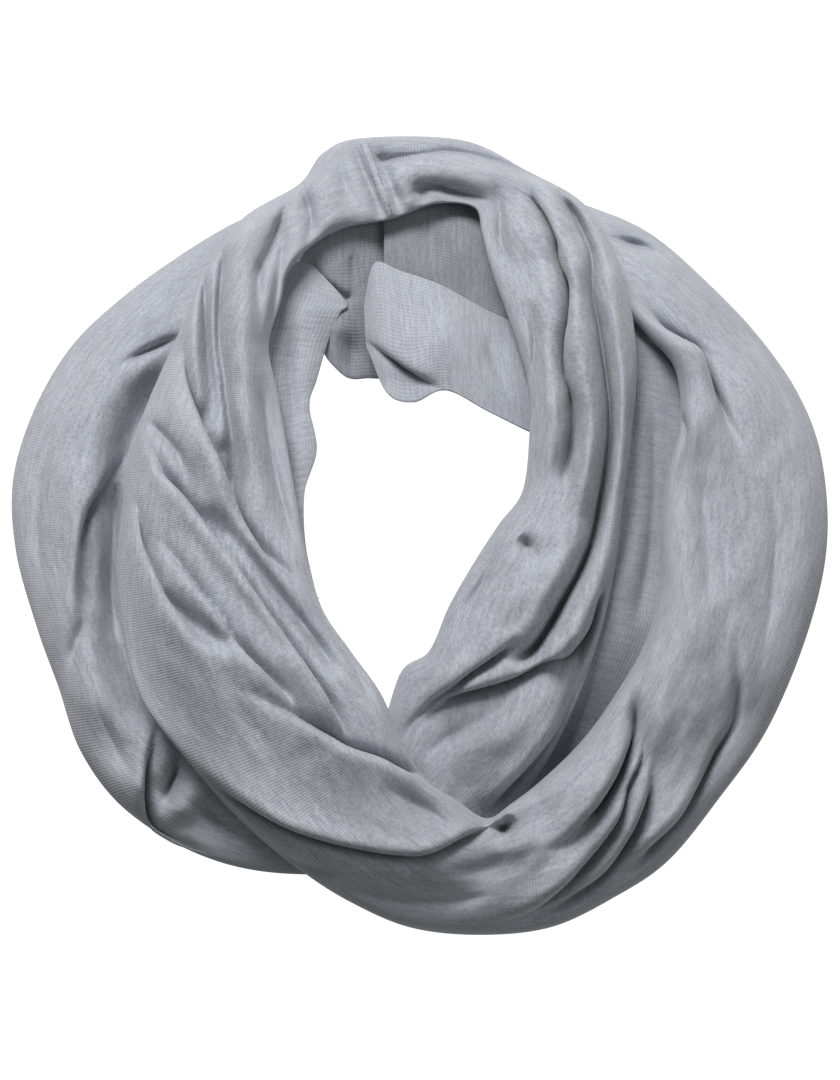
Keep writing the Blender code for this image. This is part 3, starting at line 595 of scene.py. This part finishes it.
class Loop:
    """The long tube of cloth, as a loft through LOOP."""

    section_power: float = 2.5
    rim_ease: float = 1.05
    samples: int = 20
    back_row: float = 28.0
    back_breadth: float = 120.0
    back_wave: float = 400.0
    lapped_rows: int = 4

    def __init__(self) -> None:
        """Reads the table and measures the loop along its middle."""
        self.rows = np.array([row[1:] for row in LOOP], float)
        self.names = [row.name for row in LOOP]
        fine = np.linspace(0, len(LOOP), self.samples * len(LOOP) + 1)
        values = read_rows(self.rows, fine, True)
        across, up = PLANE.across_up((values[:, 0] + values[:, 2]) / 2, (values[:, 1] + values[:, 3]) / 2)
        depth = PLANE.ring_depth(up) + (values[:, 4] + values[:, 5]) / 2
        middle = PLANE.to_world(across, up, depth)
        steps = np.linalg.norm(np.diff(middle, axis=0), axis=1)
        self.fine, self.lengths = fine, np.concatenate([[0], np.cumsum(steps)])
        self.drift = Drift()
        self.back = FoldField(BACK_FOLDS, self.back_plane)

    @property
    def length(self) -> float:
        """Metres round the loop's middle."""
        return float(self.lengths[-1])

    def place(self, name: str) -> int:
        """The number of a named row."""
        return self.names.index(name)

    def along(self, place: Array) -> Array:
        """Metres along the loop at places counted in rows."""
        turns = np.floor(place / len(LOOP))
        return np.interp(place - turns * len(LOOP), self.fine, self.lengths) + turns * self.length

    def back_plane(self, place: Array, share: Array) -> tuple[Array, Array]:
        """Places along and across the back as mm, on an even band."""
        return place * self.back_row, share * self.back_breadth

    def width(self, place: Array) -> Array:
        """Width of the band in mm."""
        values = read_rows(self.rows, place, True)
        across = (values[:, 2] - values[:, 0]) * PLANE.unit
        up = (values[:, 3] - values[:, 1]) * PLANE.unit
        return np.hypot(across, up)

    def points(self, place: Array, turn: Array, front: FoldField) -> Array:
        """Points of the cloth.

        Args:
            place: Places along the loop, counted in rows.
            turn: 0 to 1 from the neck edge over the front to the outer edge, 1 to 2 back behind.
            front: The folds of the front.

        Returns:
            The points in metres.
        """
        values = read_rows(self.rows, place, True)
        neck = np.stack(PLANE.across_up(values[:, 0], values[:, 1]), axis=1)
        outer = np.stack(PLANE.across_up(values[:, 2], values[:, 3]), axis=1)
        neck_lay, outer_lay, fullness, back = values[:, 4], values[:, 5], values[:, 6], values[:, 7]
        angle = turn * math.pi
        power = 2 / self.section_power
        side = -np.copysign(np.abs(np.cos(angle)) ** power, np.cos(angle))
        rise = np.abs(np.sin(angle)) ** power
        share = (side + 1) / 2
        at = neck + (outer - neck) * share[:, None]
        across, up = at[:, 0], at[:, 1]
        inner = ease(rise * self.rim_ease)
        breadth = np.hypot(*(outer - neck).T)
        behind = np.where(turn > 1, self.back_wave, 0.0)
        wave = self.drift.read(self.along(place) / MM, share * breadth + behind)
        is_front = turn <= 1
        height, move_x, move_y = front.read(across, up)
        count = len(LOOP)
        inside = place % count
        lapped = np.where(inside < self.lapped_rows, inside + count, inside)
        first = self.back.read(*self.back_plane(inside, share))
        second = self.back.read(*self.back_plane(lapped, share))
        back_height = np.where(lapped > count, second[0] + first[0], first[0])
        lie = PLANE.ring_depth(up) + neck_lay + (outer_lay - neck_lay) * share
        front_lift = -(fullness * rise + (height + wave) * inner)
        lift = np.where(is_front, front_lift, back * rise + (back_height + wave) * inner)
        across = across + np.where(is_front, move_x * inner, 0)
        up = up + np.where(is_front, move_y * inner, 0)
        return PLANE.to_world(across, up, lie + lift)


class Signal:
    """A shader value that Python's operators work on."""

    def __init__(self, graph: "Graph", socket: Any) -> None:
        """Keeps the socket and the graph that it belongs to."""
        self.graph, self.socket = graph, socket

    def math(self, operation: str, *others: "Signal | float") -> "Signal":
        """A Math node fed by this value and others."""
        return self.graph.add("ShaderNodeMath", {"operation": operation}, dict(enumerate((self, *others))))

    def __add__(self, other: "Signal | float") -> "Signal":
        """Sum."""
        return self.math("ADD", other)

    def __sub__(self, other: "Signal | float") -> "Signal":
        """Difference."""
        return self.math("SUBTRACT", other)

    def __rsub__(self, other: float) -> "Signal":
        """A number less this value."""
        return self.math("MULTIPLY_ADD", -1.0, other)

    def __mul__(self, other: "Signal | float") -> "Signal":
        """Product."""
        return self.math("MULTIPLY", other)

    __radd__, __rmul__ = __add__, __mul__

    def sine(self) -> "Signal":
        """Sine of the value."""
        return self.math("SINE")


class Graph:
    """A material's nodes, made by one method."""

    def __init__(self, name: str) -> None:
        """Starts a material that holds only its output and its Principled shader."""
        self.material = bpy.data.materials.new(name)
        self.material.use_nodes = True
        self.tree = self.material.node_tree
        self.shader = self.tree.nodes["Principled BSDF"]

    def add(self, kind: str, settings: dict[str, Any], inputs: dict[Any, Any], output: Any = 0) -> Signal:
        """One node.

        Args:
            kind: The node's type.
            settings: Its settings, set first.
            inputs: Values or links, by socket name or number.
            output: The socket to hand back.

        Returns:
            The output as a signal.
        """
        node = self.tree.nodes.new(kind)
        for name, value in settings.items():
            setattr(node, name, value)
        for key, value in inputs.items():
            self.feed(node.inputs[key], value)
        return Signal(self, node.outputs[output])

    def feed(self, socket: Any, value: Any) -> None:
        """Links a signal to a socket, or sets the socket's value."""
        if isinstance(value, Signal):
            self.tree.links.new(value.socket, socket)
        else:
            socket.default_value = value

    def shade(self, **inputs: Any) -> None:
        """Feeds the Principled shader, with _ for each space in a socket's name."""
        for name, value in inputs.items():
            self.feed(self.shader.inputs[name.replace("_", " ")], value)


@dataclass(frozen=True)
class HeatherJersey:
    """Fine grey heather single jersey: ribs across the band, their grooves darkened with painted shade, flecks along
    it, a soft matte face.

    A streak is its length and breadth in metres. A share is how much of the tone it makes.
    """

    name: str = "heather_jersey"
    uv: str = "cloth"
    light: Colour = (0.47, 0.49, 0.53, 1.0)
    dark: Colour = (0.24, 0.25, 0.28, 1.0)
    long_streak: tuple[float, float] = (0.011, 0.0015)
    long_share: float = 1.0
    fleck: tuple[float, float] = (0.0022, 0.0007)
    fleck_share: float = 1.2
    fleck_relief: float = 0.5
    cloud: tuple[float, float] = (0.055, 0.03)
    cloud_share: float = 0.2
    wander: tuple[float, float] = (0.02, 0.006)
    rib_pitch: float = 0.00125
    rib_wander: float = 3.0
    stitch_pitch: float = 0.0011
    stitch_wander: float = 2.0
    stitch_mark: float = 0.06
    # How much the knit's ribs lift the tone: their own pattern, with painted shade in the grooves.
    knit_and_groove_shade: float = 0.24
    base_tone: float = 0.37
    detail: float = 2.0
    soft_detail: float = 1.0
    noise_roughness: float = 0.6
    layer_step: float = 70.0
    bump_strength: float = 0.45
    bump_depth: float = 0.00022
    roughness: float = 0.88
    sheen: float = 0.25
    sheen_roughness: float = 0.55
    specular: float = 0.2

    def make(self) -> bpy.types.Material:
        """The material.

        Returns:
            A material that follows the cloth's own map, whose unit is a metre.
        """
        graph = Graph(self.name)
        place = graph.add("ShaderNodeUVMap", {"uv_map": self.uv}, {})
        along = graph.add("ShaderNodeSeparateXYZ", {}, {0: place}, 0)
        across = Signal(graph, along.socket.node.outputs[1])

        def streaks(size: tuple[float, float], detail: float) -> Signal:
            """Noise in streaks that run along the band, from 0 to 1."""
            length, breadth = size
            places = {0: along * (1 / length), 1: across * (1 / breadth), 2: length * self.layer_step}
            scaled = graph.add("ShaderNodeCombineXYZ", {}, places)
            noise = {"Vector": scaled, "Scale": 1.0, "Detail": detail, "Roughness": self.noise_roughness}
            return graph.add("ShaderNodeTexNoise", {"noise_dimensions": "3D"}, noise, 0)

        def wave(run: Signal, pitch: float, sway: Signal) -> Signal:
            """An even wave from 0 to 1."""
            return (run * (2 * math.pi / pitch) + sway).sine() * 0.5 + 0.5

        long_streak = streaks(self.long_streak, self.detail)
        fleck = streaks(self.fleck, self.detail)
        cloud = streaks(self.cloud, self.soft_detail)
        wander = streaks(self.wander, self.soft_detail)
        rib = wave(along, self.rib_pitch, wander * self.rib_wander)
        stitch = wave(across, self.stitch_pitch, wander * self.stitch_wander)
        knit = rib * (1 - self.stitch_mark) + stitch * rib * self.stitch_mark
        tone = (long_streak - 0.5) * self.long_share + (fleck - 0.5) * self.fleck_share
        # Tone rises on the ribs and falls in their grooves: painted shade in the grooves, over the knit's own pattern.
        tone = tone + (cloud - 0.5) * self.cloud_share + knit * self.knit_and_groove_shade + self.base_tone
        tone = tone.math("MAXIMUM", 0.0).math("MINIMUM", 1.0)
        colour = graph.add("ShaderNodeMix", {"data_type": "RGBA"}, {0: tone, 6: self.dark, 7: self.light}, 2)
        height = knit + fleck * self.fleck_relief
        relief = {"Strength": self.bump_strength, "Distance": self.bump_depth, "Height": height}
        bump = graph.add("ShaderNodeBump", {}, relief)
        graph.shade(Base_Color=colour, Roughness=self.roughness, Normal=bump)
        graph.shade(Sheen_Weight=self.sheen, Sheen_Roughness=self.sheen_roughness, Specular_IOR_Level=self.specular)
        return graph.material


@dataclass(frozen=True)
class JerseyPaintedShade(HeatherJersey):
    """A darker copy of the jersey: painted shade for the layers deep inside the back of the neck."""

    name: str = "jersey_painted_shade"
    light: Colour = (0.32, 0.335, 0.365, 1.0)
    dark: Colour = (0.16, 0.165, 0.185, 1.0)


@dataclass(frozen=True)
class Plain:
    """A plain matte finish, which may glow."""

    name: str
    colour: Colour
    roughness: float
    glow_colour: Colour = (1.0, 1.0, 1.0, 1.0)
    glow: float = 0.0

    def make(self) -> bpy.types.Material:
        """The material."""
        graph = Graph(self.name)
        graph.shade(Base_Color=self.colour, Roughness=self.roughness)
        graph.shade(Emission_Color=self.glow_colour, Emission_Strength=self.glow)
        return graph.material


THREAD = Plain("grey_thread", (0.30, 0.31, 0.34, 1.0), 0.7)
PAPER = Plain("paper", (0.9, 0.9, 0.9, 1.0), 0.95, (0.98, 0.98, 1.0, 1.0), 0.85)


@dataclass
class ClothPiece:
    """A piece of the scarf's cloth made from a grid, with a thin wall."""

    name: str
    node: str
    wall: float = 1.2 * MM
    weld: float = 1e-7

    def weave(self, cells: tuple[int, int], shape: Shape, jersey: bpy.types.Material) -> bpy.types.Object:
        """Makes the piece.

        Args:
            cells: Cells along and across.
            shape: Gives points in metres and places on the cloth in metres for two shares.
            jersey: The cloth's material.

        Returns:
            The finished object at the origin.
        """
        grid = bmesh.new()
        bmesh.ops.create_grid(grid, x_segments=cells[0], y_segments=cells[1], size=0.5)
        data = bpy.data.meshes.new(self.name)
        grid.to_mesh(data)
        grid.free()
        flat = np.zeros(len(data.vertices) * 3, np.float32)
        data.vertices.foreach_get("co", flat)
        shares = flat.reshape(-1, 3)[:, :2].astype(float) + 0.5
        points, cloth = shape(shares[:, 0], shares[:, 1])
        data.vertices.foreach_set("co", points.astype(np.float32).ravel())
        corner = np.zeros(len(data.loops), np.int32)
        data.loops.foreach_get("vertex_index", corner)
        layer = data.uv_layers.new(name="cloth")
        layer.data.foreach_set("uv", cloth[corner].astype(np.float32).ravel())
        self.close(data)
        data.materials.append(jersey)
        piece = bpy.data.objects.new(self.name, data)
        bpy.context.scene.collection.objects.link(piece)
        wall = piece.modifiers.new("Wall", "SOLIDIFY")
        wall.thickness = self.wall
        wall.offset = -1
        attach(piece, "root")
        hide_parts(self.node)
        return piece

    def declare(self, piece: bpy.types.Object, length: float, held: str, rests_on: Sequence[str] = ()) -> None:
        """Args:
            piece: The finished piece; not used.
            length: Its length in metres; its width follows from its cloth; not used.
            held: How it is held; not used.
            rests_on: The pieces that it lies against; not used.
        """

    def close(self, data: bpy.types.Mesh) -> None:
        """Merges the grid's doubles, turns its face to the eye and keeps its cut ends crisp."""
        mesh = bmesh.new()
        mesh.from_mesh(data)
        bmesh.ops.remove_doubles(mesh, verts=mesh.verts, dist=self.weld)
        bmesh.ops.recalc_face_normals(mesh, faces=mesh.faces)
        nearest = min(mesh.faces, key=lambda face: face.calc_center_median().y)
        if nearest.normal.y > 0:
            bmesh.ops.reverse_faces(mesh, faces=mesh.faces)
        for face in mesh.faces:
            face.smooth = True
        for edge in mesh.edges:
            edge.smooth = not edge.is_boundary
        mesh.to_mesh(data)
        mesh.free()


@dataclass
class Stretch(ClothPiece):
    """One stretch of the long tube."""

    first: str = ""
    last: str = ""
    folds: tuple[Fold, ...] = ()
    cell: float = 1.5
    front_cells: int = 96
    back_cells: int = 34
    around_share: float = 2.3
    front_share: float = 0.52

    def build(self, loop: Loop, jersey: bpy.types.Material) -> bpy.types.Object:
        """Makes the stretch."""
        start = loop.place(self.first)
        rows = (loop.place(self.last) - start) % len(LOOP)
        ends = loop.along(np.array([start, start + rows], float))
        length = float(ends[1] - ends[0])
        along_cells = round(length / MM / self.cell)
        around_cells = self.front_cells + self.back_cells
        front = FoldField(self.folds, PLANE.across_up)
        around = float(loop.width(np.array([start + rows / 2.0]))[0]) * MM * self.around_share

        def shape(run: Array, share: Array) -> tuple[Array, Array]:
            """Points and cloth places of the stretch."""
            cell = np.round(share * around_cells)
            back = 1 + (cell - self.front_cells) / self.back_cells
            turn = np.where(cell <= self.front_cells, cell / self.front_cells, back)
            turn = np.where(turn >= 2, 0.0, turn)
            place = start + run * rows
            points = loop.points(place, turn, front)
            behind = self.front_share + (back - 1) * (1 - self.front_share)
            spread = np.where(cell <= self.front_cells, cell / self.front_cells * self.front_share, behind)
            return points, np.stack([loop.along(place), spread * around], axis=1)

        piece = self.weave((along_cells, around_cells), shape, jersey)
        self.declare(piece, length, "gathered")
        return piece


class LayerRow(NamedTuple):
    """A section across a single sheet: its two edges as drawn, their depths and its fullness."""

    left_x: float
    left_y: float
    right_x: float
    right_y: float
    left_lay: float
    right_lay: float
    full: float


@dataclass
class Layer(ClothPiece):
    """A deeper layer of the cloth, as one sheet with edges that roll behind."""

    rows: tuple[LayerRow, ...] = ()
    folds: tuple[Fold, ...] = ()
    cells: tuple[int, int] = (60, 50)
    roll: float = 4.4
    roll_reach: float = 0.06
    overrun: float = 0.04
    cloth_start: float = 3.0
    probes: int = 25
    rests_on: tuple[str, ...] = ()
    # Whether the layer takes the darker jersey copy, which carries painted shade.
    reverse: bool = False

    def points(self, along: Array, share: Array, field_of: FoldField) -> Array:
        """Points of the sheet, before it is seated."""
        table = np.array(self.rows, float)
        inside_along, inside_share = np.clip(along, 0, 1), np.clip(share, 0, 1)
        values = read_rows(table, inside_along * (len(table) - 1), False)
        x = values[:, 0] + (values[:, 2] - values[:, 0]) * inside_share
        y = values[:, 1] + (values[:, 3] - values[:, 1]) * inside_share
        across, up = PLANE.across_up(x, y)
        depth = PLANE.ring_depth(up) + values[:, 4] + (values[:, 5] - values[:, 4]) * inside_share
        rise, move_x, move_y = field_of.read(across, up)
        depth = depth - values[:, 6] * np.sin(math.pi * inside_share) - rise
        beyond = np.maximum(np.abs(along - inside_along), np.abs(share - inside_share))
        depth = depth + self.roll * np.clip(beyond / self.roll_reach, 0, 1)
        return PLANE.to_world(across + move_x, up + move_y, depth)

    def build(self, jersey: bpy.types.Material) -> bpy.types.Object:
        """Makes the layer where its solid is."""
        field_of = FoldField(self.folds, PLANE.across_up)
        table = np.array(self.rows, float)
        length = float(np.abs(np.diff(table[:, [0, 1]], axis=0)).sum()) * PLANE.unit * MM
        width = float(np.hypot(table[:, 2] - table[:, 0], table[:, 3] - table[:, 1]).mean()) * PLANE.unit * MM
        low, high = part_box(self.node)
        probe = np.linspace(0, 1, self.probes)
        grid_a, grid_b = (axis.ravel() for axis in np.meshgrid(probe, probe))
        plain = self.points(grid_a, grid_b, field_of)
        middle = Vector((low + high) / 2) - Vector((plain.min(0) + plain.max(0)) / 2)
        move = PLANE.forward() * middle.dot(PLANE.forward())

        def shape(along: Array, share: Array) -> tuple[Array, Array]:
            """Points and cloth places of the layer."""
            over = 1 + 2 * self.overrun
            points = self.points(along * over - self.overrun, share * over - self.overrun, field_of)
            return points + np.array(move), np.stack([share * width + self.cloth_start, along * length], axis=1)

        piece = self.weave(self.cells, shape, jersey)
        self.declare(piece, length, "folded", self.rests_on)
        return piece


@dataclass
class CrossSeam:
    """The double line of stitches beside the ridge of the seam that closes the loop."""

    node: str = "collar"
    row: str = "cross seam"
    turns: tuple[float, float] = (0.05, 0.85)
    lines: tuple[float, ...] = (-0.052, 0.052)
    thread_radius: float = 0.32 * MM
    stitch: float = 1.9 * MM
    spacing: float = 2.7 * MM
    bow: tuple[float, ...] = (-0.4, 0.7, 1.0, 0.7, -0.4)
    samples: int = 90
    facets: int = 8
    end_power: int = 8
    end_share: float = 0.05
    off_thread: tuple[float, float, float] = (0, -1, 0.3)

    def build(self, loop: Loop, front: FoldField, thread: bpy.types.Material) -> None:
        """Lays the stitches on the collar."""
        base = loop.place(self.row)
        turns = np.linspace(*self.turns, self.samples)
        spine, *sides = [
            loop.points(np.full(self.samples, float(base + line)), turns, front) for line in (0, *self.lines)
        ]
        outward = np.cross(np.gradient(spine, axis=0), sides[1] - sides[0])
        outward /= np.linalg.norm(outward, axis=1)[:, None]
        if (outward @ np.array(PLANE.forward())).mean() < 0:
            outward = -outward
        pieces = []
        for side in sides:
            lengths = np.concatenate([[0], np.cumsum(np.linalg.norm(np.diff(side, axis=0), axis=1))])
            for start in np.arange(0, lengths[-1] - self.stitch, self.spacing):
                reach = start + np.linspace(0, self.stitch, len(self.bow))
                line, lift = (
                    np.stack([np.interp(reach, lengths, values[:, axis]) for axis in range(3)], axis=1)
                    for values in (side, outward)
                )
                pieces.append(line + lift * (np.array(self.bow)[:, None] * self.thread_radius))
        self.tube("seam_stitches", pieces, self.thread_radius, thread)

    def tube(self, name: str, lines: Sequence[Array], radius: float, material: bpy.types.Material) -> None:
        """Round tubes along lines, as one object.

        Args:
            name: The object's name.
            lines: The middle points of each tube.
            radius: Its radius in metres.
            material: Its material.
        """
        mesh = bmesh.new()
        steps = range(self.facets)
        for line in lines:
            rings = []
            for index, point in enumerate(line):
                ahead = Vector(line[min(index + 1, len(line) - 1)] - line[max(index - 1, 0)]).normalized()
                side = ahead.cross(Vector(self.off_thread)).normalized()
                up = side.cross(ahead)
                share = index / (len(line) - 1)
                size = radius * math.sqrt(max(1 - (2 * share - 1) ** self.end_power, self.end_share))
                angles = (2 * math.pi * step / self.facets for step in steps)
                ring = (Vector(point) + (side * math.cos(angle) + up * math.sin(angle)) * size for angle in angles)
                rings.append([mesh.verts.new(place) for place in ring])
            for near, far in zip(rings, rings[1:]):
                for step in steps:
                    after = (step + 1) % self.facets
                    mesh.faces.new((near[step], near[after], far[after], far[step]))
            mesh.faces.new(rings[0])
            mesh.faces.new(rings[-1])
        bmesh.ops.recalc_face_normals(mesh, faces=mesh.faces)
        data = bpy.data.meshes.new(name)
        mesh.to_mesh(data)
        mesh.free()
        data.shade_smooth()
        data.uv_layers.new(name="cloth")
        data.materials.append(material)
        piece = bpy.data.objects.new(name, data)
        bpy.context.scene.collection.objects.link(piece)
        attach(piece, "root")
        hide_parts(self.node)


@dataclass
class Scarf:
    """The whole scarf."""

    loop: Loop = field(default_factory=Loop)
    stretches: tuple[Stretch, ...] = (
        Stretch(
            "collar_turn", "collar", first="collar right", last="collar end",
            folds=COLLAR_FOLDS + NECK_FOLDS + LEFT_FOLDS, front_cells=90,
        ),
        Stretch(
            "left_band", "front_left", first="collar end", last="left 9",
            folds=LEFT_FOLDS + BOTTOM_FOLDS + COLLAR_FOLDS, front_cells=116,
        ),
        Stretch(
            "bottom_band", "bottom_sweep", first="left 9", last="right 1",
            folds=LEFT_FOLDS + BOTTOM_FOLDS + RIGHT_FOLDS, front_cells=110,
        ),
        Stretch(
            "right_band", "right_outer", first="right 1", last="shoulder right",
            folds=BOTTOM_FOLDS + RIGHT_FOLDS, front_cells=108,
        ),
        Stretch(
            "back_band", "back_outer", first="shoulder right", last="outer 1",
            folds=RIGHT_FOLDS + OUTER_FOLDS, front_cells=84, back_cells=60,
        ),
        Stretch(
            "left_outer_band", "left_outer", first="outer 1", last="outer 9",
            folds=OUTER_FOLDS + RIGHT_FOLDS[:3], front_cells=108,
        ),
        Stretch(
            "under_band", "under_cross", first="outer 9", last="inner 1",
            folds=OUTER_FOLDS + NECK_FOLDS, front_cells=84,
        ),
        Stretch(
            "neck_band", "right_front", first="inner 1", last="collar right",
            folds=NECK_FOLDS + COLLAR_FOLDS + OUTER_FOLDS, front_cells=116,
        ),
    )
    layers: tuple[Layer, ...] = (
        Layer("deep_right_layer", "right_under", folds=UNDER_FOLDS, cells=(150, 44),
              rests_on=("neck_band", "right_band"), rows=(
            LayerRow(596, 292, 642, 318, 22, 32, 1),
            LayerRow(605, 312, 656, 344, 16, 28, 2),
            LayerRow(616, 345, 690, 372, 10, 26, 3),
            LayerRow(618, 400, 694, 424, 6, 22, 4),
            LayerRow(614, 470, 684, 486, 6, 20, 4),
            LayerRow(604, 545, 676, 560, 6, 20, 4),
            LayerRow(588, 610, 670, 630, 8, 20, 4),
            LayerRow(560, 670, 648, 690, 12, 20, 3),
            LayerRow(530, 728, 606, 748, 20, 23, 2),
            LayerRow(508, 768, 578, 792, 26, 27, 1),
            LayerRow(494, 794, 566, 820, 29, 29, 1),
        )),
        Layer("deep_left_layer", "inner_left", folds=INNER_LEFT_FOLDS, cells=(100, 36), rests_on=("left_band",), rows=(
            LayerRow(296, 262, 312, 264, -6, -2, 1),
            LayerRow(284, 284, 346, 302, -10, -5, 3),
            LayerRow(276, 308, 340, 314, -12, -8, 4),
            LayerRow(266, 345, 327, 346, -14, -4, 4),
            LayerRow(264, 385, 317, 380, -14, -6, 4),
            LayerRow(268, 420, 310, 406, -14, -9, 4),
            LayerRow(272, 455, 317, 450, -16, -11, 4),
            LayerRow(274, 500, 305, 493, -16, -14, 3),
            LayerRow(282, 545, 306, 545, -18, -18, 3),
            LayerRow(296, 590, 318, 600, -18, -24, 2),
        )),
        # The deep back layer takes the darker jersey copy: painted shade.
        Layer("deep_back_layer", "inner_back", folds=INNER_BACK_FOLDS, cells=(50, 70),
              rests_on=("collar_turn",), reverse=True, rows=(
            LayerRow(300, 262, 296, 310, -3, 2, 3),
            LayerRow(318, 232, 318, 346, 2, 6, 5),
            LayerRow(345, 216, 345, 377, 8, 8, 6),
            LayerRow(370, 210, 370, 379, 16, 15, 4),
            LayerRow(396, 208, 396, 380, 31, 32, 2),
        )),
        Layer("turned_flap", "neck_flap", folds=FLAP_FOLDS, cells=(80, 70), rests_on=("neck_band",), rows=(
            LayerRow(364, 306, 366, 348, -9, -13, 2),
            LayerRow(374, 264, 387, 394, -12, -20, 6),
            LayerRow(400, 271, 414, 403, -14, -24, 8),
            LayerRow(440, 285, 446, 391, -14, -26, 9),
            LayerRow(480, 307, 486, 411, -10, -22, 8),
            LayerRow(520, 326, 524, 430, -4, -12, 5),
            LayerRow(548, 340, 548, 440, 0, -5, 2),
        )),
        # The pocket layer takes the darker jersey copy: painted shade.
        Layer("pocket_layer", "neck_pocket", folds=POCKET_FOLDS, cells=(70, 70),
              rests_on=("collar_turn",), reverse=True, rows=(
            LayerRow(384, 208, 384, 290, 17, 22, 3),
            LayerRow(410, 200, 410, 300, 18, 24, 5),
            LayerRow(450, 194, 450, 320, 18, 24, 6),
            LayerRow(490, 205, 490, 340, 14, 20, 5),
            LayerRow(530, 225, 530, 350, 9, 15, 3),
        )),
    )

    def build(self) -> None:
        """Makes every piece."""
        # The second jersey is a darker copy of the first: painted shade for the layers deep inside the back of the
        # neck.
        jersey, reverse = HeatherJersey().make(), JerseyPaintedShade().make()
        for stretch in self.stretches:
            stretch.build(self.loop, jersey)
        for layer in self.layers:
            layer.build(reverse if layer.reverse else jersey)
        CrossSeam().build(self.loop, FoldField(self.stretches[0].folds, PLANE.across_up), THREAD.make())


class Lamp(NamedTuple):
    """A square soft light that faces the scarf: its place and side in metres, its power in watts."""

    name: str
    place: tuple[float, float, float]
    size: float
    power: float


@dataclass(frozen=True)
class Studio:
    """White paper behind, soft light, and the photograph's point of view."""

    paper_distance: float = 2.8
    paper_reach: float = 6.0
    picture_height: float = 1080.0
    sensor: float = 36.0
    sky: Colour = (0.96, 0.98, 1.0, 1.0)
    sky_strength: float = 0.16
    lamps: tuple[Lamp, ...] = (
        Lamp("key", (-0.42, -0.82, 1.68), 0.9, 38.0),
        Lamp("fill", (1.0, -1.7, 0.5), 1.2, 7.0),
        Lamp("back_light", (0.2, 1.1, 1.6), 1.0, 6.0),
    )

    def backdrop(self) -> None:
        """One upright sheet of paper, well behind the scarf."""
        mesh = bmesh.new()
        bmesh.ops.create_grid(mesh, x_segments=2, y_segments=2, size=self.paper_reach)
        for vertex in mesh.verts:
            vertex.co = Vector((vertex.co.x, self.paper_distance, vertex.co.y))
        data = bpy.data.meshes.new("backdrop")
        mesh.to_mesh(data)
        mesh.free()
        data.shade_smooth()
        sheet = bpy.data.objects.new("backdrop", data)
        bpy.context.scene.collection.objects.link(sheet)
        data.materials.append(PAPER.make())

    def light(self) -> None:
        """Soft studio light, mostly from above and in front."""
        for lamp in self.lamps:
            data = bpy.data.lights.new(lamp.name, "AREA")
            data.shape, data.size, data.energy = "SQUARE", lamp.size, lamp.power
            light = bpy.data.objects.new(lamp.name, data)
            light.location = lamp.place
            light.rotation_mode = "QUATERNION"
            light.rotation_quaternion = (-Vector(lamp.place)).to_track_quat("-Z", "Y")
            bpy.context.scene.collection.objects.link(light)
        world = bpy.data.worlds.new("studio")
        world.use_nodes = True
        background = world.node_tree.nodes["Background"].inputs
        background["Color"].default_value = self.sky
        background["Strength"].default_value = self.sky_strength
        bpy.context.scene.world = world
        bpy.context.scene.view_settings.view_transform = "Standard"

    def camera(self) -> None:
        """The photograph's point of view."""
        data = bpy.data.cameras.new("camera")
        data.sensor_fit = "VERTICAL"
        data.sensor_height = self.sensor
        data.lens = self.sensor * PLANE.eye_distance / (self.picture_height * PLANE.unit)
        camera = bpy.data.objects.new("camera", data)
        camera.location = PLANE.forward() * PLANE.eye_distance * MM
        camera.rotation_mode = "QUATERNION"
        camera.rotation_quaternion = (-PLANE.forward()).to_track_quat("-Z", "Y")
        bpy.context.scene.collection.objects.link(camera)
        bpy.context.scene.camera = camera


def main() -> None:
    """Builds the scarf and its studio."""
    logging.basicConfig(level=logging.INFO, format="%(name)s: %(message)s")
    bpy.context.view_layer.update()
    Scarf().build()
    studio = Studio()
    studio.backdrop()
    studio.light()
    studio.camera()


if __name__ == "__main__":
    main()
